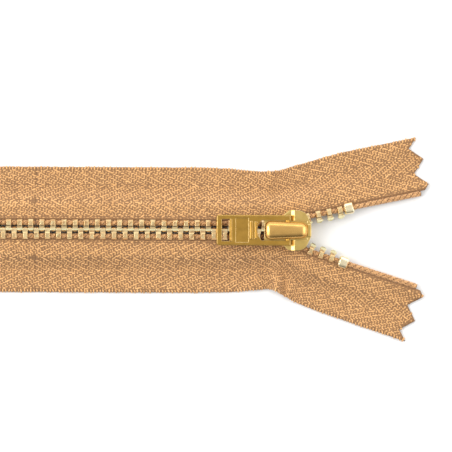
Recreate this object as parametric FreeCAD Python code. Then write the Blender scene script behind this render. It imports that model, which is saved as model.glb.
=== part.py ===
import FreeCAD, Part
import math
import os

from FreeCAD import Vector

os.makedirs("parts", exist_ok=True)

# A size 3 metal zip, closed end, with the slider a little short of the top stops.
# +X runs along the chain towards the top, +Y to the left tape, +Z up from the table.
# The origin is the centre of the slider's underside. Everything is in millimetres.

# Chain
PITCH = 2.331  # from one tooth to the next on the same tape
LEFT_TEETH = 51
RIGHT_TEETH = 50
LEFT_LAST = 11.25  # path length at the last tooth, from x = 0
RIGHT_LAST = 10.09  # half a pitch back, so that the rows mesh
GROUP = 10  # closed-chain teeth in one node
CHAIN_Z = 1.9  # mid height of the closed chain
BEAD_Y = 1.4  # cord centre to the chain's centre line
BEAD_R = 0.6

# One tooth: u along the cord, v towards the other tape, w up
TOOTH_HALF_U = 0.525
TOOTH_TIP_V = 1.85
TOOTH_TIP_HALF_W = 0.5
TOOTH_TIP_SLOPE = 0.25  # length of the head's sloped tip
TOOTH_CORNER = 0.24  # the tip's corners in plan
LEG_END_V = 0.7
LEG_END_HALF_W = 0.55
LEG_SLOPE = 0.4  # length of the sloped end of a leg
LEG_HALF_W = 1.0
HEAD_HALF_W = 0.85
HEAD_STEP = 0.2  # length of the slope from leg to head
TOOTH_CHAMFER = 0.14
NIB_RISE = 0.22
NIB_V = (1.2, 1.6)
NIB_SLOPES = (0.05, 0.1)  # how much shorter the nib's top is at each end
NIB_FOOT = 0.15  # how much longer its root is on the leg side
NIB_HALF_W = 0.35
NIB_ROOT = 0.1  # how far the nib is sunk in the head
DIMPLE_DEPTH = 0.27
DIMPLE_GAP = 0.12  # beside the nib of the next tooth
DIMPLE_LEAD = 0.2  # before that nib
SLOT_HALF_W = 0.3  # the legs stop this far from the tape's mid plane

# Tape
TAPE_T = 0.5
TAPE_EDGE = 11.7  # outer edge, from the cord's centre
TAPE_ROOT = 0.5  # inner edge, from the cord's centre
FLAT_FROM = 7.2  # beyond this the closed tape lies on the table
BOTTOM_END_X = -123.0
PINK_STEP = 5.4  # between two points of the pinked edge
PINK_DEPTH = 2.6
PINK_TIP = (1.6, 2.0)  # the first point: out from the cord, and beyond its end
PINK_SPARE = 0.2  # uncut tape beyond the points

# Cord paths in plan: where each row leaves the centre line, passes the nose, and ends
LEFT_TURN = (-1.0, BEAD_Y)
LEFT_NOSE = (4.4, 3.0)
LEFT_END = (28.0, 7.95)
LEFT_TURN_R = 12.0
RIGHT_TURN = (-0.9, -BEAD_Y)
RIGHT_NOSE = (4.6, -4.4)
RIGHT_END = (27.2, -11.7)
RIGHT_TURN_R = 7.0
NOSE_BEND_R = 10.0
TAIL_Z = 0.75  # height of the cord at the tape ends
JOINT_GAP = 0.1  # between the solids of two bodies of one tape
ARM_GAP = 0.4  # the same where the arms turn away

# Stops
TOP_STOP_U = 2.0
TOP_STOP_V = 2.5
TOP_STOP_W = 2.3
TOP_STOP_ROUND = 0.8
TOP_STOP_RIM = 0.25
LEFT_STOP_AT = 13.15
RIGHT_STOP_AT = 12.7
BOTTOM_STOP_X = (-109.0, -106.1)
BOTTOM_STOP_HALF_Y = 2.6
BOTTOM_STOP_W = 2.6
BOTTOM_STOP_ROUND = 0.8
BOTTOM_STOP_RIM = 0.2
STAPLE_GROOVE = (1.1, 1.9, 0.2)  # inset from the ends, half width, depth
BOTTOM_JOINT_X = -105.9  # the rows hinge here

# Slider
PLATE_T = 0.8
CHANNEL_H = 2.2
TOP_Z = 2 * PLATE_T + CHANNEL_H  # top of the upper plate
REAR_X = -5.04
NOSE_X = 4.85
LOBE_HALF = 4.2
PLATE_HALF = [(REAR_X, 3.0), (-1.2, 3.0), (0.1, LOBE_HALF), (3.55, LOBE_HALF), (NOSE_X, 1.2)]
PLATE_ROUND = [0.7, 1.0, 1.1, 2.4, 1.2]  # at each of the corners above
PLATE_RIM = 0.12
CHANNEL_PLAN = [(REAR_X - 1, 2.25), (-2.2, 2.25), (1.2, 3.75), (2.6, 4.45), (6.0, 6.5)]
WEDGE_PLAN = [(1.5, 0.0), (1.9, 0.28), (4.1, 1.0), (6.0, 0.6)]
TAPE_SLOT = 0.8  # gap between the upper and lower flanges
TAPE_SLOT_FROM = 2.0  # the slot is cut from here outwards
SHOULDER_X = (0.65, 1.35)  # the bevel that steps up to the front lobes
SHOULDER_RISE = 0.35
SHOULDER_FALL = 0.12  # how far the lobes drop towards the nose
NOSE_LUG_END = 4.8
NOSE_LUG_HALF = 1.3
NOSE_LUG_RISE = 0.75
NOSE_LUG_ROUND = 0.15
SUNK = 0.1  # how far a raised part is sunk in the one that carries it
PIVOT_X = -0.1
PIVOT_Z = 4.5
PIVOT_R = 0.45

# Cap
CAP_X = (-4.9, 4.0)
CAP_REAR_HALF = 2.0
CAP_FRONT_HALF = 1.6
CAP_TOP = 6.3
CAP_T = 0.35
CAP_CROWN = 0.25  # how far the top falls from the middle to the sides
CAP_CORNER = 1.25  # upright edges
CAP_ROUND = 1.2  # upper edges
CAP_INNER_ROUND = 0.4
CAP_ARCH_GAP = 0.25  # round the pivot bar

# Pull
PULL_X = (-15.0, 0.5)
PULL_HALF = 3.2
PULL_T = 0.9
PULL_CORNER = 0.55
PULL_RIM = 0.15
END_WINDOW_X = (-13.9, -12.25)
END_WINDOW_HALF = 2.3
CAP_WINDOW_X = -6.5
CAP_WINDOW_HALF = 2.15
CAP_WINDOW_BOW = 0.95  # how far the window's end bows out
PANEL_X = (-11.0, -8.3)
PANEL_HALF = 2.55
PANEL_DEPTH = 0.1
RIBS = [((-12.25, -11.8), 2.3), ((-8.0, -7.5), 1.85), ((-6.98, -6.53), 1.8)]  # x limits, half width
RIB_RISE = 0.22
RIB_ROUND = 0.14
BAR_ROOT = 0.5  # how far the pivot bar is sunk in each rail

# Lock
PAWL_PIVOT = (3.1, 4.3)  # x, z
PAWL_PIVOT_R = 0.25
PAWL_HALF = 0.9
PAWL_TOP = 5.4
PAWL_T = 0.3
PAWL_NECK = 0.1  # how far the lever's end overlaps its pivot
PAWL_BEND = (2.2, 2.4)  # where the lever turns down to its pivot, below and above
PAWL_SEAT_X = (3.0, 3.45)
PAWL_SEAT_HALF = 0.8
PAWL_SEAT_RISE = 0.12
CLAW_X = (-4.2, -3.5)
CLAW_Y = (0.42, 1.05)
CLAW_ROOT_Z = 3.1
CLAW_TIP_Z = 2.55
CLAW_HOLE_GAP = 0.3
CLAW_HOLE_Y = (-1.1, 1.25)
SPRING_T = 0.12
SPRING_X = -0.6
SPRING_HALF = (2.4, 0.7)  # half length, half width
SPRING_GAP = (0.02, 0.06)  # over the lever, and under the cap


def box(x, y, z):
    """A block between two limits on each axis."""
    size = (x[1] - x[0], y[1] - y[0], z[1] - z[0])
    return Part.makeBox(*size, Vector(x[0], y[0], z[0]))


def prism(points, direction):
    """A closed flat polygon pushed along a direction."""
    return Part.Face(Part.makePolygon(points + points[:1])).extrude(direction)


def save(name, solids):
    """One node: a solid, or separate solids in a compound."""
    shape = solids[0] if len(solids) == 1 else Part.makeCompound(solids)
    shape.exportStep(f"parts/{name}.step")


class Path:
    """Straight runs through corner points, with a tangent arc in each corner."""

    def __init__(self, corners, radii, length_at_first):
        self.pieces = []
        start = corners[0]
        length = length_at_first
        for before, corner, after, radius in zip(corners, corners[1:], corners[2:], radii):
            into = (corner - before).normalize()
            out = (after - corner).normalize()
            turn = into.getAngle(out)
            reach = radius * math.tan(turn / 2)
            enter = corner - into * reach
            leave = corner + out * reach
            inward = (out - into).normalize()
            centre = corner + inward * (radius / math.cos(turn / 2))
            middle = centre - inward * radius
            length = self.add_line(start, enter, length)
            length = self.add_arc(centre, enter, middle, turn / 2, length)
            length = self.add_arc(centre, middle, leave, turn / 2, length)
            start = leave
        self.add_line(start, corners[-1], length)

    def add_line(self, a, b, length):
        self.pieces.append(("line", a, b, length, None, None))
        return length + a.distanceToPoint(b)

    def add_arc(self, centre, a, b, angle, length):
        self.pieces.append(("arc", a, b, length, centre, angle))
        return length + angle * centre.distanceToPoint(a)

    def at(self, length):
        """Position and direction at a path length."""
        kind, a, b, first, centre, angle = [p for p in self.pieces if p[3] <= length][-1]
        if kind == "line":
            along = (b - a).normalize()
            return a + along * (length - first), along
        radius = centre.distanceToPoint(a)
        spoke = (a - centre) * (1 / radius)
        other = (b - centre) * (1 / radius)
        ahead = (other - spoke * spoke.dot(other)).normalize()
        turned = (length - first) / radius
        point = centre + (spoke * math.cos(turned) + ahead * math.sin(turned)) * radius
        return point, ahead * math.cos(turned) - spoke * math.sin(turned)

    def split(self):
        """Path length at the middle of the first corner."""
        return self.pieces[2][3]

    def edges(self, first, last):
        """The line and arc edges of some of the pieces."""
        made = []
        for piece in self.pieces[first:last]:
            kind, a, b = piece[:3]
            centre = piece[4]
            if kind == "line":
                made.append(Part.LineSegment(a, b).toShape())
                continue
            middle = (a + b) * 0.5 - centre
            middle = centre + middle.normalize() * centre.distanceToPoint(a)
            made.append(Part.Arc(a, middle, b).toShape())
        return made


def row_path(turn, nose, end, turn_radius):
    """The cord of one row: along the chain, out past the slider's nose, down to the table."""
    corners = [
        Vector(BOTTOM_JOINT_X, turn[1], CHAIN_Z),
        Vector(turn[0], turn[1], CHAIN_Z),
        Vector(nose[0], nose[1], CHAIN_Z),
        Vector(end[0], end[1], TAIL_Z),
    ]
    return Path(corners, [turn_radius, NOSE_BEND_R], BOTTOM_JOINT_X)


def tube(edges):
    """A round cord along a chain of tangent edges."""
    wire = Part.Wire(edges)
    start = edges[0].Vertexes[0].Point
    along = edges[0].tangentAt(edges[0].FirstParameter)
    ring = Part.Wire(Part.makeCircle(BEAD_R, start, along))
    return wire.makePipeShell([ring], True, False)


def place_on(path, length, side):
    """The placement that sets u, v, w on the cord at a path length."""
    point, along = path.at(length)
    inward = Vector(along.y, -along.x, 0) * side
    inward.normalize()
    up = along.cross(inward)
    matrix = FreeCAD.Matrix(
        along.x, inward.x, up.x, point.x,
        along.y, inward.y, up.y, point.y,
        along.z, inward.z, up.z, point.z,
        0, 0, 0, 1,
    )  # fmt: skip
    return FreeCAD.Placement(matrix)


def clamp_cut(half_u, reach_v):
    """The round bore for the cord and the slot for the tape."""
    bore = Part.makeCylinder(BEAD_R, 4 * half_u, Vector(-2 * half_u, 0, 0), Vector(1, 0, 0))
    slot = box((-2 * half_u, 2 * half_u), (-2 * reach_v, 0), (-SLOT_HALF_W, SLOT_HALF_W))
    return bore.fuse(slot)


def tooth():
    """A Y-shaped tooth: two legs crimped on the cord, and a head with a nib and a dimple."""
    half = [
        (TOOTH_TIP_V, TOOTH_TIP_HALF_W),
        (TOOTH_TIP_V - TOOTH_TIP_SLOPE, HEAD_HALF_W),
        (BEAD_R + HEAD_STEP, HEAD_HALF_W),
        (BEAD_R, LEG_HALF_W),
        (LEG_SLOPE - LEG_END_V, LEG_HALF_W),
        (-LEG_END_V, LEG_END_HALF_W),
    ]
    outline = half + [(v, -w) for v, w in reversed(half)]
    body = prism([Vector(-TOOTH_HALF_U, v, w) for v, w in outline], Vector(2 * TOOTH_HALF_U, 0, 0))
    inner = TOOTH_HALF_U - TOOTH_CHAMFER
    low = LEG_HALF_W - TOOTH_CHAMFER
    right = [(inner, -LEG_HALF_W), (TOOTH_HALF_U, -low), (TOOTH_HALF_U, low), (inner, LEG_HALF_W)]
    section = right + [(-u, w) for u, w in reversed(right)]
    body = body.common(prism([Vector(u, -2, w) for u, w in section], Vector(0, 5, 0)))
    right = [(TOOTH_HALF_U, -2), (TOOTH_HALF_U, TOOTH_TIP_V - TOOTH_CORNER)]
    right.append((TOOTH_HALF_U - TOOTH_CORNER, TOOTH_TIP_V))
    plan = right + [(-u, v) for u, v in reversed(right)]
    body = body.common(prism([Vector(u, v, -2) for u, v in plan], Vector(0, 0, 4)))
    rise = TOOTH_HALF_U + NIB_RISE
    root = TOOTH_HALF_U - NIB_ROOT
    nib = [
        (root, NIB_V[0] - NIB_FOOT),
        (rise, NIB_V[0] + NIB_SLOPES[0]),
        (rise, NIB_V[1] - NIB_SLOPES[1]),
        (root, NIB_V[1]),
    ]
    nib = prism([Vector(u, v, -NIB_HALF_W) for u, v in nib], Vector(0, 0, 2 * NIB_HALF_W))
    dimple_w = NIB_HALF_W + DIMPLE_GAP
    dimple = box(
        (-TOOTH_HALF_U - 1, DIMPLE_DEPTH - TOOTH_HALF_U),
        (NIB_V[0] - DIMPLE_LEAD, TOOTH_TIP_V + 1),
        (-dimple_w, dimple_w),
    )
    return body.fuse(nib).cut(dimple).cut(clamp_cut(TOOTH_HALF_U, LEG_END_V)).removeSplitter()


def top_stop():
    """A folded clip clamped on the cord and over the edge of the tape."""
    half_u, half_v, half_w = TOP_STOP_U / 2, TOP_STOP_V / 2, TOP_STOP_W / 2
    clip = box((-half_u, half_u), (-half_v, half_v), (-half_w, half_w))
    long_edges = [e for e in clip.Edges if abs(e.tangentAt(e.FirstParameter).x) > 0.9]
    clip = clip.makeFillet(TOP_STOP_ROUND, long_edges)
    rims = [e for e in clip.Edges if abs(abs(e.CenterOfMass.x) - half_u) < 1e-6]
    clip = clip.makeChamfer(TOP_STOP_RIM, rims)
    return clip.cut(clamp_cut(half_u, half_v))


def bottom_stop():
    """A staple that holds both cords together at the closed end."""
    half_w = BOTTOM_STOP_W / 2
    length = BOTTOM_STOP_X[1] - BOTTOM_STOP_X[0]
    staple = box(
        BOTTOM_STOP_X,
        (-BOTTOM_STOP_HALF_Y, BOTTOM_STOP_HALF_Y),
        (CHAIN_Z - half_w, CHAIN_Z + half_w),
    )
    long_edges = [e for e in staple.Edges if abs(e.tangentAt(e.FirstParameter).x) > 0.9]
    staple = staple.makeFillet(BOTTOM_STOP_ROUND, long_edges)
    rims = [e for e in staple.Edges if min(abs(e.CenterOfMass.x - x) for x in BOTTOM_STOP_X) < 1e-6]
    staple = staple.makeChamfer(BOTTOM_STOP_RIM, rims)
    middle = sum(BOTTOM_STOP_X) / 2
    for side in (1, -1):
        bore = Part.makeCylinder(
            BEAD_R, 2 * length, Vector(middle - length, side * BEAD_Y, CHAIN_Z), Vector(1, 0, 0)
        )
        slot = box(
            (middle - length, middle + length),
            sorted((side * BEAD_Y, side * 2 * BOTTOM_STOP_HALF_Y)),
            (CHAIN_Z - SLOT_HALF_W, CHAIN_Z + SLOT_HALF_W),
        )
        staple = staple.cut(bore).cut(slot)
    inset, groove_half, depth = STAPLE_GROOVE
    groove = box(
        (BOTTOM_STOP_X[0] + inset, BOTTOM_STOP_X[1] - inset),
        (-groove_half, groove_half),
        (CHAIN_Z + half_w - depth, CHAIN_Z + half_w + 1),
    )
    return staple.cut(groove)


# Tape sections: distance out from the cord's centre, and height of the middle of the tape
CLOSED_SECTION = [
    (TAPE_ROOT, CHAIN_Z), (3.3, CHAIN_Z), (4.3, 1.7), (5.3, 1.07),
    (6.3, 0.45), (FLAT_FROM, TAPE_T / 2), (TAPE_EDGE, TAPE_T / 2),
]  # fmt: skip
TAIL_SECTION = [
    (TAPE_ROOT, TAIL_Z), (1.2, TAIL_Z), (1.6, 0.68), (2.1, 0.5),
    (2.6, 0.32), (3.2, TAPE_T / 2), (TAPE_EDGE, TAPE_T / 2),
]  # fmt: skip


def tape_section(origin, outward, section):
    """A closed outline of the tape's section, TAPE_T thick, at a point of the cord."""
    half = TAPE_T / 2
    top = [origin + outward * d + Vector(0, 0, z + half) for d, z in section]
    under = [origin + outward * d + Vector(0, 0, z - half) for d, z in reversed(section)]
    return Part.makePolygon(top + under + top[:1])


def tape_between(sections):
    return Part.makeLoft(sections, True, True)


def pinked(tape, end, outward, along):
    """Cuts the tape's end to a zigzag, set out from the end of its cord."""
    tip = end + outward * PINK_TIP[0] + along * PINK_TIP[1]
    steps = math.ceil(TAPE_EDGE / PINK_STEP) + 2
    first = tip - outward * PINK_STEP
    zigzag = []
    for step in range(2 * steps):
        depth = -PINK_DEPTH * (step % 2)
        zigzag.append(first + outward * (step * PINK_STEP / 2) + along * depth - Vector(0, 0, 1))
    far = along * 20
    return tape.cut(prism(zigzag + [zigzag[-1] + far, zigzag[0] + far], Vector(0, 0, 6)))


def flat(point):
    return Vector(point[0], point[1], 0)


def arm_tape(turn, nose, end, side):
    """The tape of an open arm, from the middle of the slider to the pinked end."""
    start = Vector(turn[0] + JOINT_GAP / 2, turn[1], 0)
    along = (flat(end) - flat(nose)).normalize()
    outward = Vector(-along.y, along.x, 0) * side
    sections = [
        tape_section(start, Vector(0, side, 0), CLOSED_SECTION),
        tape_section(flat(nose), outward, CLOSED_SECTION),
        tape_section(flat(end), outward, TAIL_SECTION),
        tape_section(flat(end) + along * (PINK_TIP[1] + PINK_SPARE), outward, TAIL_SECTION),
    ]
    return pinked(tape_between(sections), flat(end), outward, along)


def chain_tape(turn, side):
    """The tape beside the closed chain."""
    start = Vector(BOTTOM_JOINT_X + JOINT_GAP / 2, side * BEAD_Y, 0)
    stop = Vector(turn[0] - ARM_GAP, side * BEAD_Y, 0)
    outward = Vector(0, side, 0)
    return tape_between([tape_section(p, outward, CLOSED_SECTION) for p in (start, stop)])


def bottom_tape(side):
    """The tape below the bottom stop, down to its pinked end."""
    outward = Vector(0, side, 0)
    start = Vector(BOTTOM_JOINT_X - JOINT_GAP / 2, side * BEAD_Y, 0)
    level = Vector(BOTTOM_STOP_X[0] - 1, side * BEAD_Y, 0)
    end = Vector(BOTTOM_END_X, side * BEAD_Y, 0)
    along = Vector(-1, 0, 0)
    sections = [
        tape_section(start, outward, CLOSED_SECTION),
        tape_section(level, outward, CLOSED_SECTION),
        tape_section(end, outward, TAIL_SECTION),
        tape_section(end + along * (PINK_TIP[1] + PINK_SPARE), outward, TAIL_SECTION),
    ]
    return pinked(tape_between(sections), end, outward, along)


def bottom_cord(side):
    """The cord through the bottom stop and down to the table."""
    corners = [
        Vector(BOTTOM_JOINT_X - JOINT_GAP / 2, side * BEAD_Y, CHAIN_Z),
        Vector(BOTTOM_STOP_X[0] - 1, side * BEAD_Y, CHAIN_Z),
        Vector(BOTTOM_END_X, side * BEAD_Y, TAIL_Z),
    ]
    path = Path(corners, [NOSE_BEND_R], 0)
    return tube(path.edges(0, None))


def row(name, path, count, last, side, stop_at):
    """One row: its cord in two bodies, its teeth in groups, the open teeth and the top stop."""
    pattern = tooth()
    split = path.split()
    placed = []
    for number in range(1, count + 1):
        length = last - (count - number) * PITCH
        copy = pattern.copy()
        copy.Placement = place_on(path, length, side)
        placed.append((number, length, copy))
    closed = [(n, s) for n, length, s in placed if length < split]
    for first in range(0, len(closed), GROUP):
        group = closed[first : first + GROUP]
        save(f"{name}_teeth_{group[0][0]:02d}_{group[-1][0]:02d}", [s for _, s in group])
    for number, length, shape in placed:
        if length >= split:
            save(f"{name}_arm_tooth_{number:02d}", [shape])
    stop = top_stop()
    stop.Placement = place_on(path, stop_at, side)
    save(f"top_stop_{name}", [stop])
    save(f"{name}_cord", [tube(path.edges(0, 2))])
    save(f"{name}_arm_cord", [tube(path.edges(2, None))])


def plate_outline(z):
    """The slider's plates in plan: a narrow rear that flares to two round lobes and a nose."""
    loop = [(REAR_X, 0)] + PLATE_HALF + [(x, -y) for x, y in reversed(PLATE_HALF)] + [(REAR_X, 0)]
    outline = Path([Vector(x, y, z) for x, y in loop], PLATE_ROUND + PLATE_ROUND[::-1], 0)
    return Part.Wire(outline.edges(0, None))


def slab(z0, z1):
    return Part.Face(plate_outline(z0)).extrude(Vector(0, 0, z1 - z0))


def channel(z0, z1):
    """The Y-shaped space for the rows, open at the rear and at both front mouths."""
    outline = [Vector(x, y, z0) for x, y in CHANNEL_PLAN]
    outline += [Vector(x, -y, z0) for x, y in reversed(CHANNEL_PLAN)]
    space = prism(outline, Vector(0, 0, z1 - z0))
    wedge = [Vector(x, y, z0) for x, y in WEDGE_PLAN]
    wedge += [Vector(x, -y, z0) for x, y in reversed(WEDGE_PLAN[1:])]
    return space.cut(prism(wedge, Vector(0, 0, z1 - z0)))


def shoulder():
    """The raised front lobes, with a bevel facing the rear."""
    low = TOP_Z - SUNK
    high = TOP_Z + SHOULDER_RISE
    end = NOSE_X + 1
    raised = slab(low, high)
    profile = [
        (SHOULDER_X[0], low), (SHOULDER_X[0], TOP_Z), (SHOULDER_X[1], high),
        (end, high - SHOULDER_FALL), (end, low),
    ]  # fmt: skip
    side = [Vector(x, -LOBE_HALF - 1, z) for x, z in profile]
    return raised.common(prism(side, Vector(0, 2 * LOBE_HALF + 2, 0)))


def slider_body():
    """Two plates joined by the wedge post, with four flanges and the lugs that hold the cap."""
    body = slab(0, TOP_Z)
    rims = [e for e in body.Edges if e.BoundBox.ZLength < 1e-6]
    body = body.makeChamfer(PLATE_RIM, rims)
    body = body.cut(channel(PLATE_T, PLATE_T + CHANNEL_H))
    slot_z = (CHAIN_Z - TAPE_SLOT / 2, CHAIN_Z + TAPE_SLOT / 2)
    slot_x = (REAR_X - 1, NOSE_X + 1)
    for side in (1, -1):
        slot_y = sorted((side * TAPE_SLOT_FROM, side * (LOBE_HALF + 1)))
        body = body.cut(box(slot_x, slot_y, slot_z))
    body = body.fuse(shoulder())
    # Everything that stands on the plates under the cap is cut clear of the lock
    body = body.cut(box(CAP_X, (-CAP_REAR_HALF, CAP_REAR_HALF), (TOP_Z, CAP_TOP)))
    lug_z = (TOP_Z - SUNK, TOP_Z + NOSE_LUG_RISE)
    nose_lug = box((CAP_X[1], NOSE_LUG_END), (-NOSE_LUG_HALF, NOSE_LUG_HALF), lug_z)
    body = body.fuse(nose_lug.makeFillet(NOSE_LUG_ROUND, nose_lug.Edges))
    hole_x = (CLAW_X[0] - CLAW_HOLE_GAP, CLAW_X[1] + CLAW_HOLE_GAP)
    body = body.cut(box(hole_x, CLAW_HOLE_Y, (TOP_Z - PLATE_T - SUNK, TOP_Z + 1)))
    seat_z = (TOP_Z - SUNK, TOP_Z + PAWL_SEAT_RISE)
    seat = box(PAWL_SEAT_X, (-PAWL_SEAT_HALF, PAWL_SEAT_HALF), seat_z)
    return body.fuse(seat).removeSplitter()


def cap_block(shrink, rounding):
    """A tapered block with a crowned top and rounded upper edges."""
    top = CAP_TOP - shrink
    x0 = CAP_X[0] + shrink
    x1 = CAP_X[1] - shrink
    rear = CAP_REAR_HALF - shrink
    front = CAP_FRONT_HALF - shrink
    plan = [(x0, -rear), (x1, -front), (x1, front), (x0, rear)]
    block = prism([Vector(x, y, TOP_Z) for x, y in plan], Vector(0, 0, top - TOP_Z))
    upright = [e for e in block.Edges if abs(e.tangentAt(e.FirstParameter).z) > 0.9]
    block = block.makeFillet(CAP_CORNER - shrink, upright)
    radius = (CAP_REAR_HALF**2 + CAP_CROWN**2) / (2 * CAP_CROWN)
    crown = Part.makeCylinder(radius, 2 * (x1 - x0), Vector(2 * x0, 0, top - radius), Vector(1, 0, 0))
    block = block.common(crown)
    rim = [e for e in block.Edges if e.BoundBox.ZMin > top - 2 * CAP_CROWN]
    return block.makeFillet(rounding, rim)


def slider_cap():
    """A pressed cover over the pivot bar and the lock, with an arch in each side."""
    cap = cap_block(0, CAP_ROUND).cut(cap_block(CAP_T, CAP_INNER_ROUND))
    arch_half = PIVOT_R + CAP_ARCH_GAP
    width = 2 * CAP_REAR_HALF + 2
    arch = box(
        (PIVOT_X - arch_half, PIVOT_X + arch_half), (-width / 2, width / 2), (TOP_Z - 1, PIVOT_Z)
    )
    crown = Part.makeCylinder(arch_half, width, Vector(PIVOT_X, -width / 2, PIVOT_Z), Vector(0, 1, 0))
    return cap.cut(arch.fuse(crown))


def lock_pawl():
    """A lever hooked at the front, over the pivot bar, with a claw between the teeth."""
    px, pz = PAWL_PIVOT
    under = PAWL_TOP - PAWL_T
    profile = [
        (CLAW_X[0], PAWL_TOP), (PAWL_BEND[1], PAWL_TOP), (px + PAWL_PIVOT_R, pz + PAWL_NECK),
        (px - PAWL_NECK, pz - PAWL_NECK), (PAWL_BEND[0], under), (CLAW_X[1], under),
        (CLAW_X[1], CLAW_ROOT_Z), (CLAW_X[0], CLAW_ROOT_Z),
    ]  # fmt: skip
    width = Vector(0, 2 * PAWL_HALF, 0)
    lever = prism([Vector(x, -PAWL_HALF, z) for x, z in profile], width)
    hook = Part.makeCylinder(PAWL_PIVOT_R, width.Length, Vector(px, -PAWL_HALF, pz), width)
    claw = box(CLAW_X, CLAW_Y, (CLAW_TIP_Z, CLAW_ROOT_Z + SUNK))
    return lever.fuse(hook).fuse(claw).removeSplitter()


def leaf_spring():
    """A bowed leaf between the lever and the cap."""
    low = PAWL_TOP + SPRING_GAP[0]
    high = CAP_TOP - CAP_T - SPRING_T - SPRING_GAP[1]
    half_length, half_width = SPRING_HALF

    def arc(lift):
        return Part.Arc(
            Vector(SPRING_X - half_length, -half_width, high + lift),
            Vector(SPRING_X, -half_width, low + lift),
            Vector(SPRING_X + half_length, -half_width, high + lift),
        ).toShape()

    lower, upper = arc(0), arc(SPRING_T)
    edges = [lower, upper]
    for end in (0, 1):
        edges.append(Part.LineSegment(lower.Vertexes[end].Point, upper.Vertexes[end].Point).toShape())
    face = Part.Face(Part.Wire(Part.__sortEdges__(edges)))
    return face.extrude(Vector(0, 2 * half_width, 0))


def cap_window(z):
    """The opening that the cap stands in: straight sides, and an end that bows out."""
    half = CAP_WINDOW_HALF
    bow = CAP_WINDOW_X + CAP_WINDOW_BOW
    far = PULL_X[1] + 1
    corners = [Vector(bow, -half, z[0]), Vector(far, -half, z[0]), Vector(far, half, z[0])]
    corners.append(Vector(bow, half, z[0]))
    edges = [Part.LineSegment(a, b).toShape() for a, b in zip(corners, corners[1:])]
    edges.append(Part.Arc(corners[-1], Vector(CAP_WINDOW_X, 0, z[0]), corners[0]).toShape())
    return Part.Face(Part.Wire(edges)).extrude(Vector(0, 0, z[1] - z[0]))


def pull_tab():
    """A flat pull: end window, plain panel, three ribs, and rails to the pivot bar."""
    z = (PIVOT_Z - PULL_T / 2, PIVOT_Z + PULL_T / 2)
    tab = box(PULL_X, (-PULL_HALF, PULL_HALF), z)
    upright = [e for e in tab.Edges if abs(e.tangentAt(e.FirstParameter).z) > 0.9]
    tab = tab.makeFillet(PULL_CORNER, [e for e in upright if e.CenterOfMass.x < PULL_X[0] + 1e-6])
    rims = [e for e in tab.Edges if e.BoundBox.ZLength < 1e-6]
    tab = tab.makeChamfer(PULL_RIM, rims)
    rib_top = z[1] + RIB_RISE
    for x, half in RIBS:
        rib = box(x, (-half, half), (PIVOT_Z, rib_top))
        upper = [e for e in rib.Edges if e.BoundBox.ZMin > rib_top - 1e-6]
        tab = tab.fuse(rib.makeFillet(RIB_ROUND, upper))
    through = (z[0] - 1, z[1] + 1)
    tab = tab.cut(box(END_WINDOW_X, (-END_WINDOW_HALF, END_WINDOW_HALF), through))
    tab = tab.cut(cap_window(through))
    tab = tab.cut(box(PANEL_X, (-PANEL_HALF, PANEL_HALF), (z[1] - PANEL_DEPTH, z[1] + 1)))
    reach = CAP_WINDOW_HALF + BAR_ROOT
    bar = Part.makeCylinder(PIVOT_R, 2 * reach, Vector(PIVOT_X, -reach, PIVOT_Z), Vector(0, 1, 0))
    return tab.fuse(bar).removeSplitter()


left = row_path(LEFT_TURN, LEFT_NOSE, LEFT_END, LEFT_TURN_R)
right = row_path(RIGHT_TURN, RIGHT_NOSE, RIGHT_END, RIGHT_TURN_R)
row("left", left, LEFT_TEETH, LEFT_LAST, 1, LEFT_STOP_AT)
row("right", right, RIGHT_TEETH, RIGHT_LAST, -1, RIGHT_STOP_AT)

save("left_tape", [chain_tape(LEFT_TURN, 1)])
save("right_tape", [chain_tape(RIGHT_TURN, -1)])
save("left_arm_tape", [arm_tape(LEFT_TURN, LEFT_NOSE, LEFT_END, 1)])
save("right_arm_tape", [arm_tape(RIGHT_TURN, RIGHT_NOSE, RIGHT_END, -1)])
save("left_bottom_tape", [bottom_tape(1)])
save("right_bottom_tape", [bottom_tape(-1)])
save("left_bottom_cord", [bottom_cord(1)])
save("right_bottom_cord", [bottom_cord(-1)])
save("bottom_stop", [bottom_stop()])

save("slider_body", [slider_body()])
save("slider_cap", [slider_cap()])
save("lock_pawl", [lock_pawl()])
save("leaf_spring", [leaf_spring()])
save("pull_tab", [pull_tab()])
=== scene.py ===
import math

import bpy
import numpy as np
from mathutils import Euler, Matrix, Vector


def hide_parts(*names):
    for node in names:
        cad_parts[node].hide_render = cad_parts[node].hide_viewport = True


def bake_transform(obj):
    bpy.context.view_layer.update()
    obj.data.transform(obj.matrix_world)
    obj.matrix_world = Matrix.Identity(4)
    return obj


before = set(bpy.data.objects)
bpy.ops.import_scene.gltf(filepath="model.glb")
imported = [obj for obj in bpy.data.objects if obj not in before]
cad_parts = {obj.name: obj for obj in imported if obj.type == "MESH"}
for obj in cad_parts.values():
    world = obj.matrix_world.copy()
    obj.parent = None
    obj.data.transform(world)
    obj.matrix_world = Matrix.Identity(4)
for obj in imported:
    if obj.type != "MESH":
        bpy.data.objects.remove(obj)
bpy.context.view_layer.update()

# A size 3 metal zip on woven tape. The CAD's metal parts stay and get finished brass.
# The tapes and bead cords are rebuilt as woven cloth. Lengths below are in millimetres,
# in the CAD's own frame, and are turned to metres where a mesh is made.

MM = 0.001
rng = np.random.default_rng(7)

# Chain, repeated from the CAD source
PITCH = 2.331
BEAD_Y = 1.4
CHAIN_Z = 1.9
TAIL_Z = 0.75
BOTTOM_END = -123.0
BOTTOM_LEVEL = -110.0
BOTTOM_TOOTH = -109.5  # no tooth squeezes the cord below this
BEND_R = 10.0
BEND_STEPS = 24
TAPE_ROOT = 0.5
TAPE_EDGE = 11.7
LEVEL_TO = 3.3
FLAT_FROM = 7.2
SPLIT_AT = -53.0  # each tape is two pieces of cloth, because it crosses two joints

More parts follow.
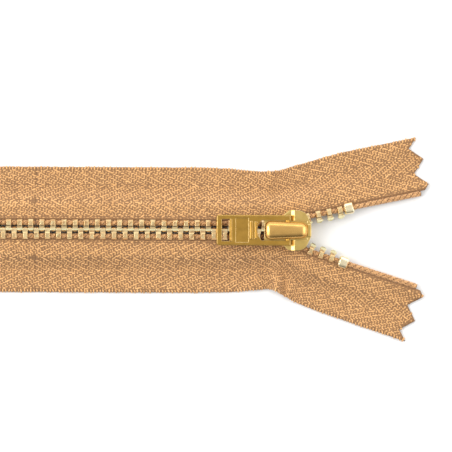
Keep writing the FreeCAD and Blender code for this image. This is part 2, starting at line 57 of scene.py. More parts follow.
# The corners of each open arm's line, seen from above: where it leaves the chain, where it starts
# down to the table, and its end
LEFT_TURN, LEFT_NOSE, LEFT_END = (-1.0, 1.4), (4.4, 3.0), (28.0, 7.95)
RIGHT_TURN, RIGHT_NOSE, RIGHT_END = (-0.9, -1.4), (4.6, -4.4), (27.2, -11.7)

# How the cloth lies
LYING_Z = 0.25  # middle of the cloth where it lies on the table
OVERRUN = 5  # how far a row's line goes on past the ends of its cord
STIFF_TO = 3  # from the cord to here the cloth keeps its width
TAIL_LEVEL_TO = 1.2
TAIL_FLAT_FROM = 3.2
FOLD_MIDDLE = 6  # a fold turns about this distance from the cord
FOLD_FULL = 11  # and has its whole height from here on
RIPPLE = 0.05  # the outer half of the tape isn't quite flat: height, rates along it, and where
RIPPLE_RATES = (0.43, 0.171)
RIPPLE_FROM = 6.5
NEAR = 0.05  # step to a neighbouring point, for a direction

# Pinked ends: where the first point is, out from the cord and beyond its end
PINK_STEP = 5.4
PINK_DEPTH = 2.6
PINK_TIP = (1.6, 2.0)
PINK_LENGTH = 6  # the ground's last stretch, which is drawn out into the points
PINK_OVER = 0.02  # how far a stitch may stand out past the ground's cut edge

# Ground of the cloth
SHEET_HALF = 0.17
GROUND_STEP = 0.5
GROUND_LAST = 0.2  # the last step is no shorter than this
GROUND_COLUMNS = 24

# Weave
CROWN = 0.25  # height of a float over the middle of the cloth
WALE = 0.282  # between two warp yarns, across the tape
COURSE = 0.541  # between two weft yarns, along it
REPEAT = 4  # weft yarns in one repeat of the twill
BAND = 12  # warp yarns in one band of the herringbone
FIRST_WARP = 1.42
WARPS = 35
WEAVE_OVER = 3  # how far the weave is laid past the piece, before it is cut to it
WARP_RISE = 0.01
WEFT_RISE = -0.01
WEFT_LENGTH = 0.66
WEFT_HALF = 0.25
WEFT_SLANT = 20  # how far the weft's floats are turned from straight across, in degrees
WEFT_SPARE = 8  # repeats laid past each end, which make up for the yarns' shifts

# How uneven the weaving is: the spreads of a stitch's place and slant, then the spread and limits
# of its length, half width and height
SPREAD_S = 0.045
SPREAD_D = 0.035
SPREAD_SLANT = 0.2
SPREAD_LENGTH = (0.15, 0.65, 1.3)
SPREAD_HALF = (0.13, 0.7, 1.3)
SPREAD_CROWN = (0.02, 0.05)

# One stitch: six-sided rings along it, as shares of its length, half width and height
RING_AT = (-0.33, 0.0, 0.33)
RING_SWELL = (0.86, 1.0, 0.86)
RING_SECTION = ((0, 1.0), (0.8, 0.62), (0.8, -0.62), (0, -1.0), (-0.8, -0.62), (-0.8, 0.62))
BREADTH = 1.25  # makes up for the section's 0.8, so that a stitch is as wide as it is said to be

# The looped outer edge and the seam beside the cord: distance between stitches, then how far out
# they are, their slant, length, half width, and height over the middle of the cloth
LOOP_STEP = 0.66
LOOP = (TAPE_EDGE - 0.24, math.radians(78), 0.92, 0.19, CROWN)
SEAM_STEP = PITCH / 3
SEAM = (1.08, math.radians(-12), 0.66, 0.13, CROWN - 0.02)

# Cord, and the woven cover round it
CORD_R = 0.5
CORD_STEP = 0.12
CORD_LAST = 0.1
CORD_SIDES = 16
PINCH = 0.09  # how much a tooth squeezes the cord's radius
PINCH_SWELL = 0.07  # how much of that it gains back between two teeth
PINCH_SPAN = (0.55, 1.0)  # over these distances from the tooth
TOOTH_REACH = 3  # the cord is pinched this far past the last tooth
TABLE_Z = 0.02  # no cord goes lower than this
COVER_YARNS = 10
COVER_COURSE = 0.32
COVER_BAND = 5
COVER_CROWN = 0.095
COVER_SHORT = 0.25  # how far the cover stays back from the ends of the cord
COVER_UNEVEN = 0.8


def smooth(low, high, value):
    t = np.clip((value - low) / (high - low), 0, 1)
    return t * t * (3 - 2 * t)


def unit(v):
    return v / np.linalg.norm(v)


class Row:
    """One side of the zip: its cord's line, and the cloth that hangs on it."""

    def __init__(self, name, side, turn, nose, end, turn_r, last, swing, lean_over, widths, folds):
        """last is where the last tooth is, and lean_over where the cloth starts and ends its turn.

        widths are (path length, width of the tape). folds are (path length, half width, height,
        skew, distance from the cord where it starts).
        """
        self.name = name
        self.side = side
        self.last = last
        self.swing = swing
        self.lean_over = lean_over
        self.widths = np.array(widths)
        self.folds = folds
        y = side * BEAD_Y
        corners = np.array([
            (BOTTOM_END, y, TAIL_Z),
            (BOTTOM_LEVEL, y, CHAIN_Z),
            (*turn, CHAIN_Z),
            (*nose, CHAIN_Z),
            (*end, TAIL_Z),
        ])
        radii = (BEND_R, turn_r, BEND_R)
        points = [corners[0] - (OVERRUN, 0, 0), corners[0]]
        marks = []
        for before, corner, after, radius in zip(corners, corners[1:], corners[2:], radii):
            into = unit(corner - before)
            out = unit(after - corner)
            angle = math.acos(float(into @ out))
            centre = corner + unit(out - into) * radius / math.cos(angle / 2)
            spoke = corner - into * radius * math.tan(angle / 2) - centre
            marks.append(len(points) + BEND_STEPS // 2)
            for k in range(BEND_STEPS + 1):
                a = angle * k / BEND_STEPS
                points.append(centre + spoke * math.cos(a) + into * radius * math.sin(a))
        points.append(corners[-1])
        level = unit((corners[-1] - corners[-2]) * (1, 1, 0))
        points.append(corners[-1] + level * OVERRUN)
        self.points = np.array(points)
        steps = np.linalg.norm(np.diff(self.points, axis=0), axis=1)
        self.run = np.concatenate([[0], np.cumsum(steps)])
        # the path length equals x along the straight chain
        self.run += SPLIT_AT - np.interp(SPLIT_AT, self.points[:-2, 0], self.run[:-2])
        self.first = self.run[1]
        self.nose = self.run[marks[2]]
        self.end = self.run[-2]

    def line(self, s):
        """The middle of the cord at path length s."""
        return np.stack([np.interp(s, self.run, self.points[:, k]) for k in range(3)], -1)

    def pink(self, d):
        """How far the pinked edge reaches beyond the cord's end, at a distance out from it."""
        phase = np.abs((d - PINK_TIP[0]) / PINK_STEP - np.round((d - PINK_TIP[0]) / PINK_STEP))
        return PINK_TIP[1] - PINK_DEPTH * 2 * phase

    def flat_point(self, s, d):
        """The middle of the cloth at path length s, distance d out from the cord."""
        c = self.line(s)
        lean = self.swing * smooth(*self.lean_over, s)
        width = np.interp(s, self.widths[:, 0], self.widths[:, 1])
        stretch = (width - STIFF_TO) / (TAPE_EDGE - STIFF_TO)
        across = np.where(d < STIFF_TO, d, STIFF_TO + (d - STIFF_TO) * stretch)
        x = c[..., 0] - np.sin(lean) * across
        y = c[..., 1] + self.side * np.cos(lean) * across
        closed = LYING_Z + (CHAIN_Z - LYING_Z) * (1 - smooth(LEVEL_TO, FLAT_FROM, d))
        tail = LYING_Z + (TAIL_Z - LYING_Z) * (1 - smooth(TAIL_LEVEL_TO, TAIL_FLAT_FROM, d))
        down = np.clip((s - self.nose) / (self.end - self.nose), 0, 1)
        down = np.maximum(down, np.clip((BOTTOM_LEVEL - s) / (BOTTOM_LEVEL - BOTTOM_END), 0, 1))
        z = closed * (1 - down) + tail * down
        for at, half, rise, skew, start in self.folds:
            off = (s - at - skew * (d - FOLD_MIDDLE)) / half
            z = z + rise * np.exp(-(off ** 2)) * smooth(start, FOLD_FULL, d)
        slow, fast = np.sin(s * RIPPLE_RATES[1]), np.sin(s * RIPPLE_RATES[0] + self.side)
        z = z + RIPPLE * (1 + fast * slow) * smooth(RIPPLE_FROM, FOLD_FULL, d)
        return np.stack([x, y, z], -1)

    def place(self, s, d, w):
        """A point at height w over the middle of the cloth."""
        along = self.flat_point(s + NEAR, d) - self.flat_point(s - NEAR, d)
        out = self.flat_point(s, d + NEAR) - self.flat_point(s, d - NEAR)
        normal = np.cross(along, out) * self.side
        normal /= np.linalg.norm(normal, axis=-1, keepdims=True)
        return self.flat_point(s, d) + normal * w[..., None]


LEFT = Row(
    "left", 1, LEFT_TURN, LEFT_NOSE, LEFT_END,
    turn_r=12.0, last=11.25, swing=math.radians(11.85), lean_over=(-9, 8),
    widths=[(-18, 11.7), (-13, 11.5), (-9, 11.15), (-5.5, 10.9), (-2, 11.05), (1.5, 11.1),
            (5, 11.05), (8, 11.3), (11, 11.55), (15, 11.75), (29, 11.7)],
    folds=[(-4.6, 1.7, 1.15, 0.28, 3.4), (2.4, 1.9, 0.5, 0.1, 5.0), (-9.5, 2.6, 0.3, -0.2, 6.0)],
)
RIGHT = Row(
    "right", -1, RIGHT_TURN, RIGHT_NOSE, RIGHT_END,
    turn_r=7.0, last=10.09, swing=math.radians(17.9), lean_over=(-7, 7),
    widths=[(-22, 11.8), (-12, 11.65), (-7, 11.2), (-3.4, 10.92), (-1.6, 11.15), (0.6, 11.35),
            (3, 11.1), (5, 11.0), (8, 11.3), (11, 11.4), (15, 11.5), (29, 11.7)],
    folds=[(-2.0, 1.4, 1.4, 0.18, 3.2), (2.8, 1.4, 0.7, 0.1, 3.8), (-6.4, 1.7, 0.5, -0.1, 5.0)],
)


# ---------------------------------------------------------------- meshes


def mesh_object(name, points, faces, material):
    """A smooth mesh from an array of points in millimetres and arrays of faces."""
    mesh = bpy.data.meshes.new(name)
    mesh.from_pydata((points * MM).tolist(), [], [f for block in faces for f in block.tolist()])
    mesh.polygons.foreach_set("use_smooth", [True] * len(mesh.polygons))
    mesh.materials.append(material)
    mesh.update()
    made = bpy.data.objects.new(name, mesh)
    bpy.context.scene.collection.objects.link(made)
    return made


def base_sheet(row, name, start, stop, material, pinked):
    """The ground of the cloth: a closed thin sheet, its end cut to a zigzag."""
    rows = np.arange(start, stop, GROUND_STEP)
    rows = np.append(rows[rows < stop - GROUND_LAST], stop)
    corners = [PINK_TIP[0] + k * PINK_STEP / 2 for k in range(-1, 6)]
    cols = np.concatenate([np.linspace(TAPE_ROOT, TAPE_EDGE, GROUND_COLUMNS), corners])
    cols = np.unique(np.clip(cols, TAPE_ROOT, TAPE_EDGE).round(3))
    s, d = np.meshgrid(rows, cols, indexing="ij")
    if pinked > 0:
        s = s + np.clip((s - (stop - PINK_LENGTH)) / PINK_LENGTH, 0, 1) * row.pink(d)
    if pinked < 0:
        s = s - np.clip((start + PINK_LENGTH - s) / PINK_LENGTH, 0, 1) * row.pink(d)
    top = row.place(s, d, np.full(s.shape, SHEET_HALF))
    under = row.place(s, d, np.full(s.shape, -SHEET_HALF))
    n, m = s.shape
    index = np.arange(n * m).reshape(n, m)
    a, b, c, e = index[:-1, :-1], index[1:, :-1], index[1:, 1:], index[:-1, 1:]
    upper = np.stack([a, b, c, e], -1).reshape(-1, 4)
    lower = upper[:, ::-1] + n * m
    rim = np.concatenate([index[0, :], index[1:, -1], index[-1, -2::-1], index[-2:0:-1, 0]])
    after = np.roll(rim, -1)
    wall = np.stack([rim, after, after + n * m, rim + n * m], -1)
    faces = [upper, lower, wall]
    if row.side < 0:
        faces = [f[:, ::-1] for f in faces]
    points = np.concatenate([top.reshape(-1, 3), under.reshape(-1, 3)])
    return mesh_object(name, points, faces, material)


def stitches(name, place, mirrored, s, d, slant, length, half, crown, material):
    """Many yarn stitches, each a small closed grain that goes through the ground and stands proud."""
    swell, section = np.array(RING_SWELL), np.array(RING_SECTION)
    count, sides = len(swell), len(section)
    last = count * sides + 1
    a = np.concatenate([[-0.5], np.repeat(RING_AT, sides), [0.5]])
    b = np.concatenate([[0], (swell[:, None] * section[None, :, 0]).ravel(), [0]])
    w = np.concatenate([[0], (swell[:, None] * section[None, :, 1]).ravel(), [0]])
    la = a[None, :] * length[:, None]
    lb = b[None, :] * half[:, None] * BREADTH
    lw = w[None, :] * crown[:, None]
    cos, sin = np.cos(slant)[:, None], np.sin(slant)[:, None]
    points = place(s[:, None] + la * cos - lb * sin, d[:, None] + la * sin + lb * cos, lw)
    rings = 1 + np.arange(count * sides).reshape(count, sides)
    after = np.roll(rings, -1, axis=1)
    quads = np.stack([rings[:-1], rings[1:], after[1:], after[:-1]], -1).reshape(-1, 4)
    ends = [(0, one, two) for one, two in zip(rings[0], after[0])]
    ends += [(last, two, one) for one, two in zip(rings[-1], after[-1])]
    offset = (np.arange(len(s)) * (last + 1))[:, None, None]
    quads = (quads[None] + offset).reshape(-1, 4)
    ends = (np.array(ends)[None] + offset).reshape(-1, 3)
    if mirrored:
        quads, ends = quads[:, ::-1], ends[:, ::-1]
    return mesh_object(name, points.reshape(-1, 3), [quads, ends], material)


def alike(s, d, slant, length, half, crown):
    """The columns of one kind of stitch: its places along the tape, and one value for the rest."""
    return [s] + [np.full(len(s), value) for value in (d, slant, length, half, crown)]


def joined(groups):
    """The columns of several kinds of stitch, end to end."""
    return [np.concatenate(column) for column in zip(*groups)]


def steps_of(yarns, band):
    """Which way each warp yarn of a herringbone leans, and how many courses it is shifted."""
    lean = np.where((np.arange(yarns) // band) % 2 == 0, -1, 1)
    return lean, np.cumsum(lean)


def warp_floats(yarns, first, wale, course, band, start, stop, over, length, half, slant):
    """Where each warp yarn passes over the weft, one course further on from yarn to yarn.

    over lists where its swellings are, counted in weft yarns, out of REPEAT.
    """
    made = []
    spell = REPEAT * course
    # Known flaw: the yarns that are shifted furthest back end up to 3 mm short of stop, which
    # leaves a small bare patch in each tape at SPLIT_AT. Three more repeats there would cover it.
    count = np.arange(math.floor(start / spell) - 1, math.ceil(stop / spell) + 1)
    for k, (lean, step) in enumerate(zip(*steps_of(yarns, band))):
        for n_weft in over:
            s = (step + n_weft + REPEAT * count) * course
            made.append(alike(s, first + k * wale, lean * math.radians(slant), length, half,
                              CROWN + WARP_RISE))
    return joined(made)


def weft_floats(start, stop):
    """Where each weft yarn passes over two warp yarns."""
    made = []
    spell = REPEAT * COURSE
    count = np.arange(math.floor(start / spell) - WEFT_SPARE, math.ceil(stop / spell) + WEFT_SPARE)
    lean, step = steps_of(WARPS, BAND)
    for k in range(WARPS - 1):
        if lean[k] != lean[k + 1]:
            continue
        between = 3 if lean[k] > 0 else 2  # courses from this warp's float to the weft's
        s = (step[k] + between + REPEAT * count) * COURSE
        s = s[(s > start) & (s < stop)]
        made.append(alike(s, FIRST_WARP + (k + 0.5) * WALE, math.radians(90 - WEFT_SLANT * lean[k]),
                          WEFT_LENGTH, WEFT_HALF, CROWN + WEFT_RISE))
    return joined(made)


def uneven(columns, amount=1.0):
    """The small irregularities of real weaving."""
    s, d, slant, length, half, crown = columns
    n = len(s)

    def share(spread, least, most):
        return np.clip(rng.normal(1, spread, n), least, most)

    s = s + rng.normal(0, SPREAD_S * amount, n)
    d = d + rng.normal(0, SPREAD_D * amount, n)
    slant = slant + rng.normal(0, SPREAD_SLANT * amount, n)
    length = length * share(*SPREAD_LENGTH)
    half = half * share(*SPREAD_HALF)
    spread, most = SPREAD_CROWN
    crown = crown - np.clip(np.abs(rng.normal(0, spread, n)), 0, most)
    return s, d, slant, length, half, crown


def weave(row, name, start, stop, material, pinked):
    """The warp floats, the looped outer edge and the seam beside the cord, as one mesh."""
    low, high = start - WEAVE_OVER, stop + WEAVE_OVER
    body = warp_floats(
        WARPS, FIRST_WARP, WALE, COURSE, BAND, low, high,
        over=[0.5], length=1.02, half=0.172, slant=-6,
    )
    loops = alike(np.arange(low, high, LOOP_STEP), *LOOP)
    seams = alike(np.arange(low, high, SEAM_STEP), *SEAM)
    columns = within(row, uneven(joined([body, loops, seams])), start, stop, pinked)
    return stitches(name, row.place, row.side < 0, *columns, material)


def weft(row, name, start, stop, material, pinked):
    """The weft floats, as one mesh."""
    columns = uneven(weft_floats(start - WEAVE_OVER, stop + WEAVE_OVER))
    columns = within(row, columns, start, stop, pinked)
    return stitches(name, row.place, row.side < 0, *columns, material)


def within(row, columns, start, stop, pinked):
    """Keeps the stitches inside the piece and its pinked end."""
    s, d, slant, length, half, crown = columns
    reach = np.abs(np.cos(slant)) * length / 2
    low, high = np.full(len(s), start), np.full(len(s), stop)
    if pinked > 0:
        high = stop + row.pink(d) + PINK_OVER - reach
    if pinked < 0:
        low = start - row.pink(d) - PINK_OVER + reach
    keep = (s >= low) & (s < high)
    return [x[keep] for x in (s, d, slant, length, half, crown)]


def cord_radius(row, s):
    """Pinched where the teeth clamp it, and full on the tails."""
    nearest = np.abs((s - row.last) / PITCH - np.round((s - row.last) / PITCH)) * PITCH
    toothed = (s < row.last + TOOTH_REACH) & (s > BOTTOM_TOOTH)
    pinched = CORD_R - PINCH + PINCH_SWELL * smooth(*PINCH_SPAN, nearest)
    return np.where(toothed, pinched, CORD_R)


def round_the_cord(row):
    """Like Row.place, but d goes round the cord."""
    def place(s, d, w):
        along = row.line(s + NEAR) - row.line(s - NEAR)
        along /= np.linalg.norm(along, axis=-1, keepdims=True)
        side = np.cross(np.array([0, 0, 1.0]), along)
        side /= np.linalg.norm(side, axis=-1, keepdims=True)
        up = np.cross(along, side)
        radius = (cord_radius(row, s) + w)[..., None]
        turn = (d / CORD_R)[..., None]
        points = row.line(s) + radius * (side * np.cos(turn) + up * np.sin(turn))
        points[..., 2] = np.maximum(points[..., 2], TABLE_Z)
        return points
    return place


def bead(row, name, start, stop, material):
    """The core of the cord that the teeth clamp."""
    s = np.append(np.arange(start, stop - CORD_LAST, CORD_STEP), stop)
    around = CORD_SIDES
    round_it = np.arange(around) * 2 * math.pi / around * CORD_R
    s_grid, d_grid = np.meshgrid(s, round_it, indexing="ij")
    points = round_the_cord(row)(s_grid, d_grid, np.zeros(s_grid.shape))
    n = len(s)
    index = np.arange(n * around).reshape(n, around)
    after = np.roll(index, -1, axis=1)
    quads = np.stack([index[:-1], index[1:], after[1:], after[:-1]], -1).reshape(-1, 4)[:, ::-1]
    caps_at = n * around
    ends = [(caps_at, index[0, j], index[0, (j + 1) % around]) for j in range(around)]
    ends += [(caps_at + 1, index[-1, (j + 1) % around], index[-1, j]) for j in range(around)]
    centre = row.line(s)
    points = np.concatenate([points.reshape(-1, 3), centre[:1], centre[-1:]])
    return mesh_object(name, points, [quads, np.array(ends)[:, ::-1]], material)


def bead_cover(row, name, start, stop, material):
    """The woven cover of the cord."""
    wale = 2 * math.pi * CORD_R / COVER_YARNS
    columns = warp_floats(
        COVER_YARNS, 0.0, wale, COVER_COURSE, COVER_BAND, start, stop,
        over=[0, 1, 2], length=0.41, half=wale / 2, slant=26,
    )
    s, d, slant, length, half, crown = uneven(columns, COVER_UNEVEN)
    crown = crown - CROWN + COVER_CROWN
    keep = (s >= start + COVER_SHORT) & (s < stop - COVER_SHORT)
    columns = [x[keep] for x in (s, d, slant, length, half, crown)]
    return stitches(name, round_the_cord(row), True, *columns, material)


# ---------------------------------------------------------------- materials

# Where a tooth's tan legs pass into its head, which is painted paler as a highlight. A ramp only reads
# 0 to 1, so the distance
# from the cord is halved: 0.55 stands for 1.1 mm.
HEAD_SCALE = 500.0
HEAD_FROM = 0.55
HEAD_TO = 0.68


class Nodes:
    """A short way to write a material's nodes."""

    def __init__(self, name):
        self.material = bpy.data.materials.new(name)
        self.material.use_nodes = True
        self.tree = self.material.node_tree
        self.shader = self.tree.nodes["Principled BSDF"]

    def add(self, kind, settings=None, **inputs):
        node = self.tree.nodes.new("ShaderNode" + kind)
        for key, value in (settings or {}).items():
            setattr(node, key, value)
        for key, value in inputs.items():
            self.put(node, key.replace("_", " "), value)
        return node

    def put(self, node, key, value):
        socket = node.inputs[int(key)] if key.isdigit() else node.inputs[key]
        if isinstance(value, bpy.types.NodeSocket):
            self.tree.links.new(value, socket)
        else:
            socket.default_value = value

    def math(self, operation, a, b=0.0):
        node = self.add("Math", {"operation": operation})
        self.put(node, "0", a)
        self.put(node, "1", b)
        return node.outputs[0]

    def mix(self, factor, a, b, blend="MIX"):
        node = self.add("Mix", {"data_type": "RGBA", "blend_type": blend})
        self.put(node, "0", factor)
        self.put(node, "6", a)
        self.put(node, "7", b)
        return node.outputs[2]

    def ramp(self, value, stops):
        node = self.add("ValToRGB", Fac=value)
        elements = node.color_ramp.elements
        while len(elements) < len(stops):
            elements.new(0.5)
        for element, (at, colour) in zip(elements, stops):
            element.position = at
            element.color = (*colour, 1) if len(colour) == 3 else colour
        return node.outputs[0]

    def noise(self, scale, detail=3.0, roughness=0.5, stretch=None, vector=None):
        coordinates = self.add("TexCoord").outputs["Object"] if vector is None else vector
        if stretch is not None:
            coordinates = self.add("Mapping", Vector=coordinates, Scale=stretch).outputs[0]
        node = self.add("TexNoise", Vector=coordinates, Scale=scale, Detail=detail, Roughness=roughness)
        return node.outputs["Fac"]


def grey(v):
    return (v, v, v)


def brass(
    name, colour, deep, pale, roughness,
    grain=1.0, round_edge=0.05, dent=0.5, vary=0.35, wear_and_highlight=0.75, head=None,
):
    """Polished and lightly handled brass: tone drift, fine scratches, and paler edges that are partly
    worn brass and partly a painted highlight.

    grain is how strong the scratches are, dent the dents, vary how much the separate solids
    differ, and wear_and_highlight how pale the edges are. head is the direction from a row's cord to
    its tooth heads, how far along it the cord is, and the colour painted on the heads as a highlight.
    """
    n = Nodes(name)
    shader = n.shader
    shader.inputs["Metallic"].default_value = 1.0
    island = n.add("NewGeometry").outputs["Random Per Island"]
    drift = n.noise(420.0, 3.0, 0.6)
    fine = n.noise(2600.0, 2.0, 0.6)
    tone = n.mix(n.ramp(drift, [(0.32, grey(0)), (0.7, grey(1))]), (*deep, 1), (*colour, 1))
    tone = n.mix(n.math("MULTIPLY", island, vary), tone, (*pale, 1))
    tone = n.mix(n.ramp(fine, [(0.25, grey(0.24)), (0.5, grey(0))]), tone, (*deep, 1))
    # The tooth heads are painted a paler colour, as a painted highlight.
    if head is not None:
        inward, offset, head_highlight = head
        reach = n.add("VectorMath", {"operation": "DOT_PRODUCT"})
        n.put(reach, "0", n.add("TexCoord").outputs["Object"])
        n.put(reach, "1", (*inward, 0))
        along = n.math("MULTIPLY", reach.outputs["Value"], HEAD_SCALE)
        out = n.math("SUBTRACT", along, offset * HEAD_SCALE * MM)
        tone = n.mix(n.ramp(out, [(HEAD_FROM, grey(0)), (HEAD_TO, grey(1))]), tone, (*head_highlight, 1))
    bevel = n.add("Bevel", {"samples": 4}, Radius=round_edge * MM)
    flat = n.add("NewGeometry").outputs["Normal"]
    meet = n.add("VectorMath", {"operation": "DOT_PRODUCT"})
    n.put(meet, "0", bevel.outputs[0])
    n.put(meet, "1", flat)
    # Paler edges: partly brass worn at its edges, partly a painted highlight where the edges catch the
    # light.
    wear_and_highlight_edge = n.ramp(meet.outputs["Value"], [(0.90, grey(wear_and_highlight)), (0.985, grey(0))])
    tone = n.mix(wear_and_highlight_edge, tone, (*pale, 1))
    n.put(shader, "Base Color", tone)
    scratch_a = n.noise(900.0, 2.0, 0.7, stretch=(0.06, 1.0, 1.0))
    scratch_b = n.noise(700.0, 2.0, 0.7, stretch=(1.0, 0.09, 1.0))
    rough = n.math("MULTIPLY_ADD", scratch_a, 0.16 * grain)
    rough.node.inputs[2].default_value = roughness - 0.08 * grain
    n.put(shader, "Roughness", rough)
    height = n.math("ADD", n.math("MULTIPLY", scratch_a, 0.6), n.math("MULTIPLY", scratch_b, 0.5))
    height = n.math("ADD", height, n.math("MULTIPLY", n.noise(1500.0, 3.0, 0.6), 0.7))
    dents = n.add("Bump", Strength=dent, Distance=0.10 * MM, Height=n.noise(650.0, 1.0, 0.4))
    n.put(dents, "Normal", bevel.outputs[0])
    bump = n.add("Bump", Strength=0.42 * grain, Distance=0.02 * MM, Height=height)
    n.put(bump, "Normal", dents.outputs[0])
    n.put(shader, "Normal", bump.outputs[0])
    return n.material


def yarn(name, colour, shade, light, sheen=0.35):
    """Spun polyester yarn: each stitch its own tone, with slow drift and fine fibres."""
    n = Nodes(name)
    shader = n.shader
    island = n.add("NewGeometry").outputs["Random Per Island"]
    drift = n.noise(130.0, 2.0, 0.6)
    mottle = n.noise(900.0, 2.0, 0.6)
    tone = n.mix(n.ramp(island, [(0.0, grey(0)), (1.0, grey(1))]), (*shade, 1), (*light, 1))
    tone = n.mix(n.ramp(drift, [(0.3, grey(0.0)), (0.72, grey(0.6))]), tone, (*colour, 1))
    tone = n.mix(n.ramp(mottle, [(0.30, grey(0.35)), (0.55, grey(0))]), tone, (*shade, 1))
    n.put(shader, "Base Color", tone)
    shader.inputs["Roughness"].default_value = 0.62
    shader.inputs["Sheen Weight"].default_value = sheen
    shader.inputs["Sheen Roughness"].default_value = 0.45
    shader.inputs["Specular IOR Level"].default_value = 0.35
    fibres = n.noise(6500.0, 2.0, 0.65, stretch=(0.35, 1.0, 1.0))
    bump = n.add("Bump", Strength=0.5, Distance=0.02 * MM, Height=fibres)
    n.put(shader, "Normal", bump.outputs[0])
    return n.material


def ground_cloth(name, colour, shade):
    """The ground between the stitches, painted darker as the shade between them, and crossed by the
    hidden weft.
    """
    n = Nodes(name)
    shader = n.shader
    drift = n.noise(150.0, 3.0, 0.6)
    tone = n.mix(drift, (*shade, 1), (*colour, 1))
    coordinates = n.add("TexCoord").outputs["Object"]
    lines = []
    for axis, scale, distortion in (("X", 480.0, 1.2), ("Y", 570.0, 0.8)):
        bands = {"wave_type": "BANDS", "bands_direction": axis}
        wave = n.add("TexWave", bands, Vector=coordinates, Scale=scale, Distortion=distortion)
        lines.append(wave.outputs["Fac"])
    both = n.math("MULTIPLY", *lines)
    deep = [c * 0.6 for c in shade]
    tone = n.mix(n.ramp(both, [(0.0, grey(0.55)), (0.5, grey(0))]), tone, (*deep, 1))
    n.put(shader, "Base Color", tone)
    shader.inputs["Roughness"].default_value = 0.85
    shader.inputs["Sheen Weight"].default_value = 0.2
    bump = n.add("Bump", Strength=0.7, Distance=0.05 * MM, Height=both)
    n.put(shader, "Normal", bump.outputs[0])
    return n.material


def paper(name):
    """The pale table."""
    n = Nodes(name)
    tone = n.mix(n.noise(60.0, 4.0, 0.5), (0.79, 0.79, 0.79, 1), (0.815, 0.815, 0.815, 1))
    n.put(n.shader, "Base Color", tone)
    n.shader.inputs["Roughness"].default_value = 0.7
    n.shader.inputs["Specular IOR Level"].default_value = 0.2
    return n.material


def teeth(name, inward, through, head_highlight=(1.0, 0.92, 0.56)):
    """Teeth brass: tan legs on the cord, heads painted paler as a highlight on the side inward points
    to.
    """
    inward = unit(np.array(inward))
    head = (inward.tolist(), float(inward @ np.array(through)), head_highlight)
    return brass(
        name, (0.74, 0.45, 0.21), (0.54, 0.32, 0.14), (0.98, 0.80, 0.44), 0.22,
        grain=0.9, dent=0.9, vary=0.85, head=head,
    )


def arm_inward(row, nose, end):
    """The direction from an open arm's cord to its tooth heads."""
    along = np.array(end) - np.array(nose)
    return np.array([along[1], -along[0]]) * row.side


TEETH = {
    "left": teeth("teeth_left", (0, -1), (0, BEAD_Y)),
    # The right row's heads get a dimmer painted highlight than the left row's: painted shade on the
    # right row.
    "right": teeth("teeth_right", (0, 1), (0, -BEAD_Y), head_highlight=(0.94, 0.74, 0.42)),
    "left_arm": teeth("teeth_left_arm", arm_inward(LEFT, LEFT_NOSE, LEFT_END), LEFT_NOSE),
    "right_arm": teeth("teeth_right_arm", arm_inward(RIGHT, RIGHT_NOSE, RIGHT_END), RIGHT_NOSE),
}
STOPS = brass(
    "stop_brass", (1.0, 0.88, 0.60), (0.90, 0.74, 0.44), (1.0, 0.97, 0.80), 0.2,
    grain=0.8, round_edge=0.08, dent=1.0, vary=0.2,
)
SLIDER = brass(
    "slider_brass", (0.71, 0.50, 0.165), (0.59, 0.405, 0.12), (0.98, 0.85, 0.50), 0.30,
    grain=0.9, round_edge=0.13, vary=0.0,
)
PULL = brass(
    "pull_brass", (0.51, 0.29, 0.058), (0.41, 0.23, 0.044), (0.98, 0.82, 0.44), 0.30,
    grain=0.9, round_edge=0.14, vary=0.0, wear_and_highlight=0.45,
)
CAP = brass(
    "cap_brass", (0.76, 0.46, 0.145), (0.66, 0.385, 0.115), (0.95, 0.76, 0.42), 0.24,
    grain=0.25, round_edge=0.03, vary=0.0,
)
STEEL = brass(
    "spring_steel", (0.62, 0.60, 0.57), (0.45, 0.44, 0.42), (0.80, 0.79, 0.77), 0.32,
    round_edge=0.03,
)
YARN = yarn("tape_yarn", (0.68, 0.362, 0.138), (0.59, 0.308, 0.111), (0.76, 0.43, 0.176))
# The weft is the tape's yarn painted darker, as painted shade on these lower floats.
WEFT = yarn("weft_yarn_painted_shade", (0.60, 0.317, 0.119), (0.505, 0.262, 0.094), (0.68, 0.387, 0.157))
# The ground is painted dark as the shade between the stitches.
GROUND = ground_cloth("tape_ground", (0.34, 0.175, 0.07), (0.24, 0.118, 0.044))
# The cord's cover yarn is painted darker than the tape's, as shade between the teeth; the core under it
# is darker still, as painted shade between the cover's stitches.
BEAD = yarn("bead_yarn", (0.62, 0.33, 0.13), (0.44, 0.225, 0.09), (0.78, 0.45, 0.195), sheen=0.3)
CORE = ground_cloth("cord_core", (0.33, 0.165, 0.068), (0.23, 0.11, 0.042))

# ---------------------------------------------------------------- camera, table and light

FIELD = 94.9  # across the picture, at the height FIELD_Z
FIELD_Z = 2.6
LENS = 200.0
SENSOR = 36.0
TILT = math.radians(0.3)
CENTRE = Vector((-13.02, 0.92, 0)) * MM
CENTRE.rotate(Euler((0, 0, TILT)))

camera = bpy.data.objects.new("camera", bpy.data.cameras.new("camera"))
bpy.context.scene.collection.objects.link(camera)
camera.data.lens = LENS
camera.data.sensor_width = SENSOR
camera.data.clip_start = 0.01
camera.data.clip_end = 50
camera.location = CENTRE + Vector((0, 0, (FIELD_Z + FIELD * LENS / SENSOR) * MM))
camera.rotation_euler = (0, 0, TILT)
bpy.context.scene.camera = camera

TABLE_SIZE = 2.5  # in metres
TABLE_TOP = -0.04
corners = np.array([(-1, -1), (1, -1), (1, 1), (-1, 1)]) * TABLE_SIZE / 2 / MM
floor = mesh_object(
    "floor", np.array([(x, y, TABLE_TOP) for x, y in corners]), [np.array([(0, 1, 2, 3)])],
    paper("paper"),
)

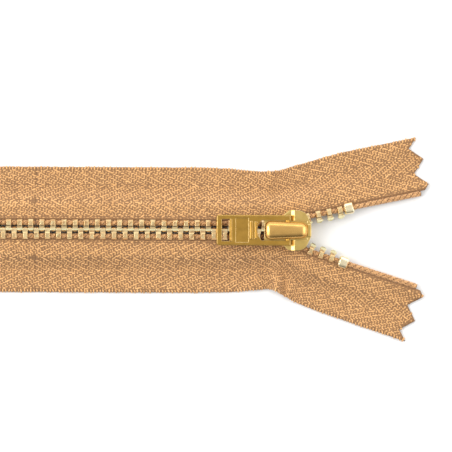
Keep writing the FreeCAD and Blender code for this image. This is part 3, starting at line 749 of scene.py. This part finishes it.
# Soft boxes that face the object: name, place and size in metres, power in watts
for name, at, size, power in (
    ("left_box", (-0.55, 0.05, 0.42), (0.22, 0.6), 1.9),
    ("right_box", (0.60, 0.10, 0.40), (0.2, 0.5), 0.5),
    ("back_box", (-0.05, 0.65, 0.55), (0.9, 0.25), 1.1),
):
    lamp = bpy.data.lights.new(name, "AREA")
    lamp.shape = "RECTANGLE"
    lamp.size, lamp.size_y = size
    lamp.energy = power
    box = bpy.data.objects.new(name, lamp)
    bpy.context.scene.collection.objects.link(box)
    box.location = at
    box.rotation_euler = (-Vector(at)).to_track_quat("-Z", "Y").to_euler()

world = bpy.data.worlds.new("tent")
bpy.context.scene.world = world
world.use_nodes = True
sky = world.node_tree
direction = sky.nodes.new("ShaderNodeTexCoord").outputs["Generated"]
towards = sky.nodes.new("ShaderNodeSeparateXYZ")
sky.links.new(direction, towards.inputs[0])


def sky_math(operation, a, b, c=0.0):
    node = sky.nodes.new("ShaderNodeMath")
    node.operation = operation
    for socket, value in zip(node.inputs, (a, b, c)):
        if isinstance(value, bpy.types.NodeSocket):
            sky.links.new(value, socket)
        else:
            socket.default_value = value
    return node.outputs[0]


# The tent is brighter part way up on the left and right, and darker towards the near side
SKY_LEVEL = 0.74
SKY_SIDES = 4.0
SKY_FAR = 0.62
SKY_LEAST = 0.05
SKY_COLOUR = (1.0, 0.995, 0.985, 1)
x, y, z = (towards.outputs[axis] for axis in "XYZ")
sides = sky_math("MULTIPLY", sky_math("MULTIPLY", x, x), z)
level = sky_math("MULTIPLY_ADD", sides, SKY_SIDES, SKY_LEVEL)
level = sky_math("MULTIPLY_ADD", y, SKY_FAR, level)
level = sky_math("MAXIMUM", level, SKY_LEAST)
sky.links.new(level, sky.nodes["Background"].inputs["Strength"])
sky.nodes["Background"].inputs["Color"].default_value = SKY_COLOUR

bpy.context.scene.view_settings.view_transform = "Standard"
bpy.context.scene.view_settings.look = "None"

# ---------------------------------------------------------------- the tapes

for row in (LEFT, RIGHT):
    for part, start, stop, pinked in (
        ("lower", row.first, SPLIT_AT, -1),
        ("upper", SPLIT_AT, row.end, 1),
    ):
        sheet = base_sheet(row, f"{row.name}_tape_{part}_ground", start, stop, GROUND, pinked)
        floats = weave(row, f"{row.name}_tape_{part}_twill", start, stop, YARN, pinked)
        crossing = weft(row, f"{row.name}_tape_{part}_weft", start, stop, WEFT, pinked)
        cord = bead(row, f"{row.name}_tape_{part}_bead", start, stop, CORE)
        cover = bead_cover(row, f"{row.name}_tape_{part}_bead_cover", start, stop, BEAD)
        for piece in (sheet, floats, crossing, cord, cover):
            if part == "lower":
                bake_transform(piece)
            else:
                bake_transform(piece)
        if part == "lower":
            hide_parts(f"{row.name}_bottom_tape", f"{row.name}_tape")
            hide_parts(f"{row.name}_bottom_cord", f"{row.name}_cord")
        else:
            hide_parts(f"{row.name}_arm_tape")
            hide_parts(f"{row.name}_arm_cord")

# ---------------------------------------------------------------- finishes of the CAD's metal

FINISHES = {
    "slider_body": SLIDER,
    "lock_pawl": SLIDER,
    "pull_tab": PULL,
    "slider_cap": CAP,
    "leaf_spring": STEEL,
}
for name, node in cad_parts.items():
    if "teeth" in name or "tooth" in name:
        side = name.split("_")[0]
        finish = TEETH[side + "_arm" if "_arm_" in name else side]
    elif "stop" in name:
        finish = STOPS
    else:
        finish = FINISHES.get(name)
    if finish is not None:
        for slot in node.material_slots:
            slot.material = finish
